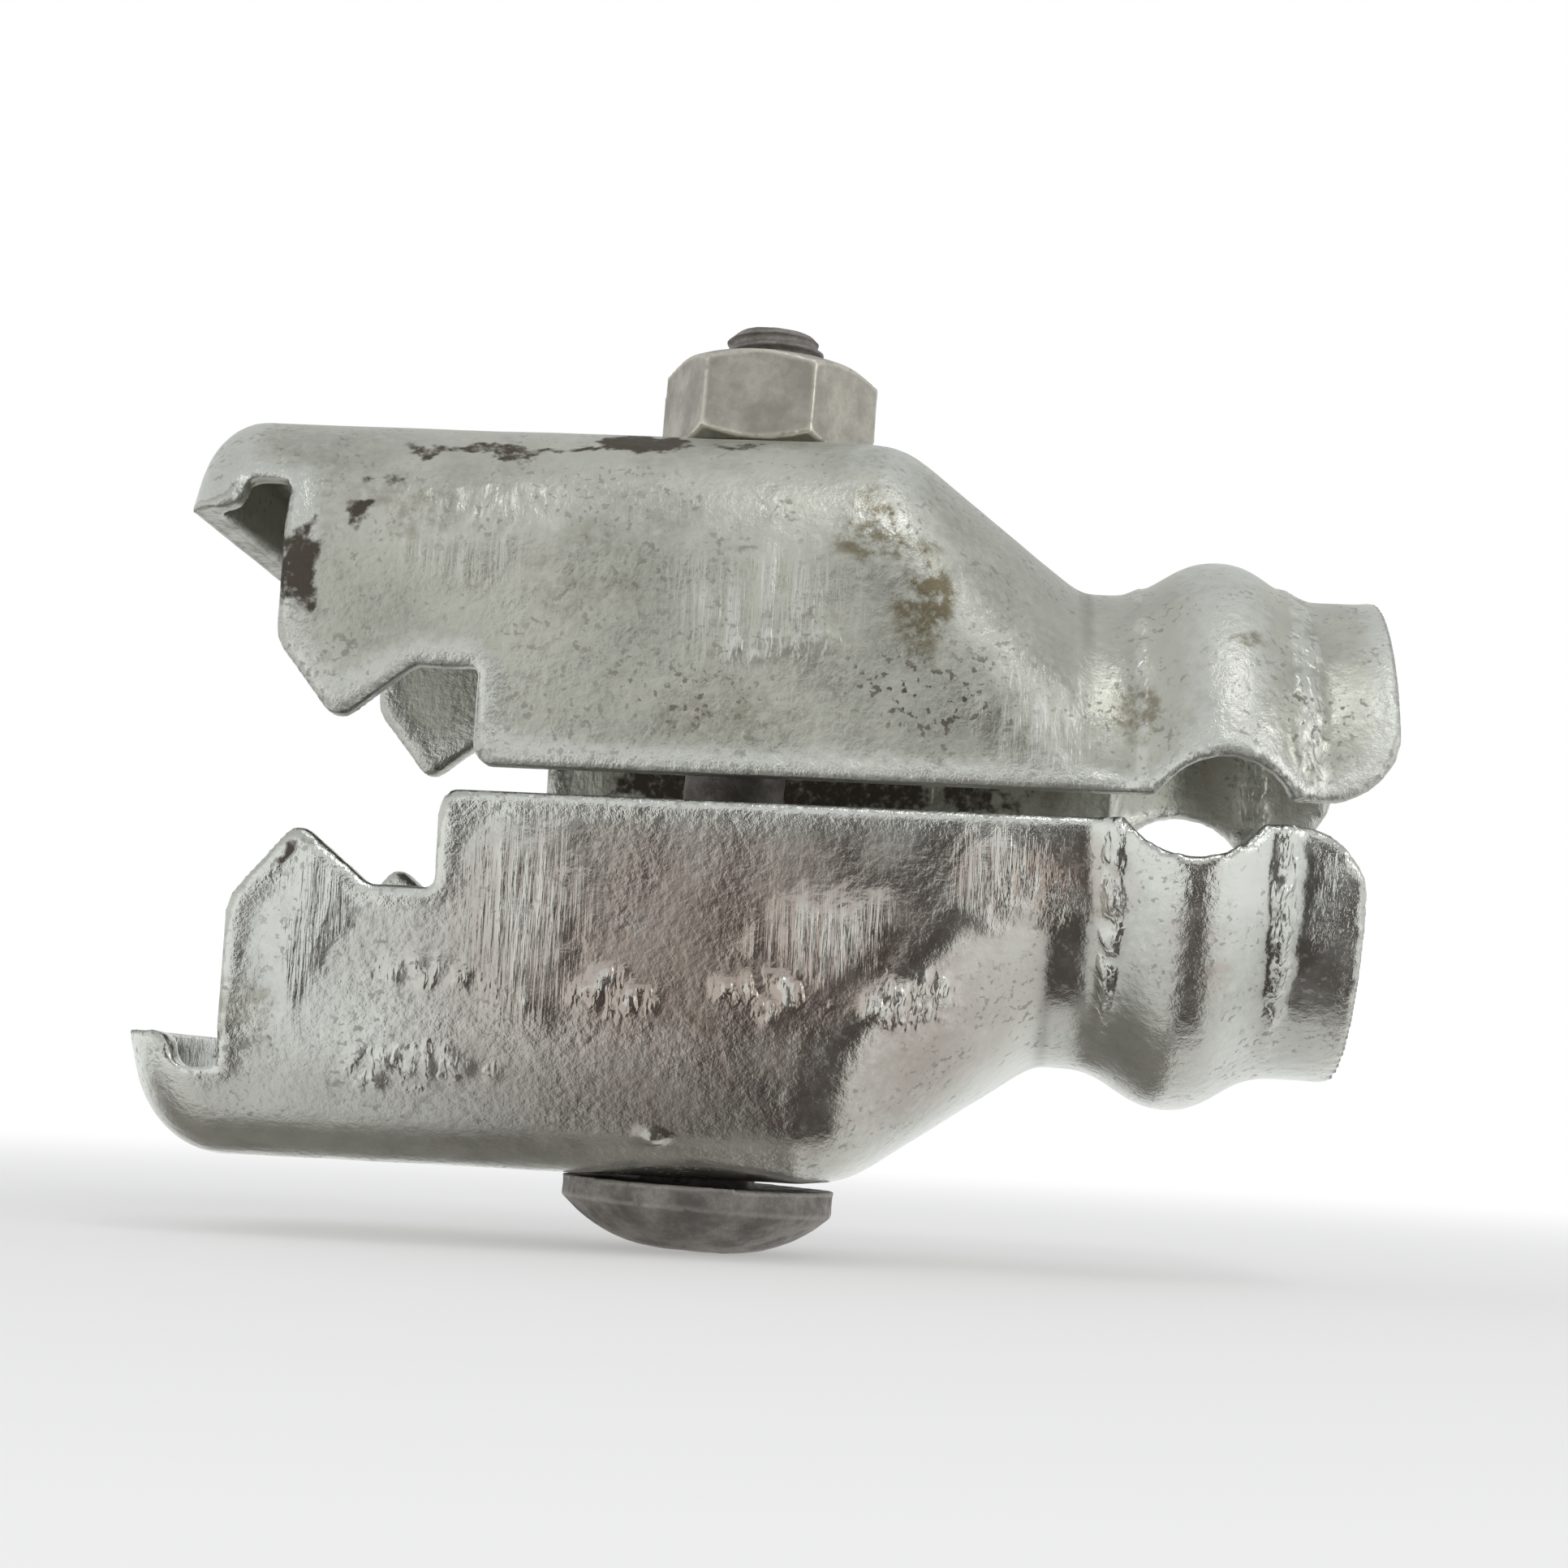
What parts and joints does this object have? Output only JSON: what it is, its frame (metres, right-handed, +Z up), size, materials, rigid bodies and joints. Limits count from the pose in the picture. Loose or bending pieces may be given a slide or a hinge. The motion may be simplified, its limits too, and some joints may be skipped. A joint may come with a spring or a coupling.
{
  "type": "scaffold coupler clamp",
  "caption": "Galvanised pressed-steel coupler clamp: mirrored half shells with hook jaws at one end and a beaded round tube seat at the other, drawn together by a cup-head bolt and nut.",
  "frame": {"origin": "on the tube axis, in the plane of the lower shell's seat mouth", "axes": "+X along the tube axis and out of the tube seat, +Y across the clamp, +Z up along the bolt towards its nut"},
  "size_m": [0.1358, 0.062, 0.1081],
  "materials": {
    "zinc_glossy": "hot-dip galvanised, fairly bright, with drips and scratches",
    "zinc_matte": "hot-dip galvanised, dull light grey with dirt stains",
    "bolt_steel": "dull dark grey, rough forged skin",
    "nut_zinc": "satin grey zinc"
  },
  "bodies": {
    "lower_jaw": {"lower_shell": "zinc_glossy"},
    "clamp_bolt": {"carriage_bolt": "bolt_steel"},
    "upper_jaw": {"upper_shell": "zinc_matte"},
    "clamp_nut": {"hex_nut": "nut_zinc"}
  },
  "joints": [
    {"name": "bolt_rock", "type": "hinge", "parent": "lower_jaw", "child": "clamp_bolt", "pos_m": [-0.0709, 0, -0.0402], "axis": [0, 1, 0], "range_deg": [-1.1, 0.3]},
    {"name": "jaw_close", "type": "slide", "parent": "clamp_bolt", "child": "upper_jaw", "axis": [0.0382, 0, 0.9993], "range_m": [-0.002, 0.0033]},
    {"name": "nut_turn", "type": "hinge", "parent": "upper_jaw", "child": "clamp_nut", "pos_m": [-0.0677, 0, 0.0418], "axis": [0.0382, 0, 0.9993], "range_deg": [-415, 682]}
  ],
  "couplings": [
    {"joint": "nut_turn", "follows": "jaw_close", "rad_per_m": 3590.4}
  ]
}
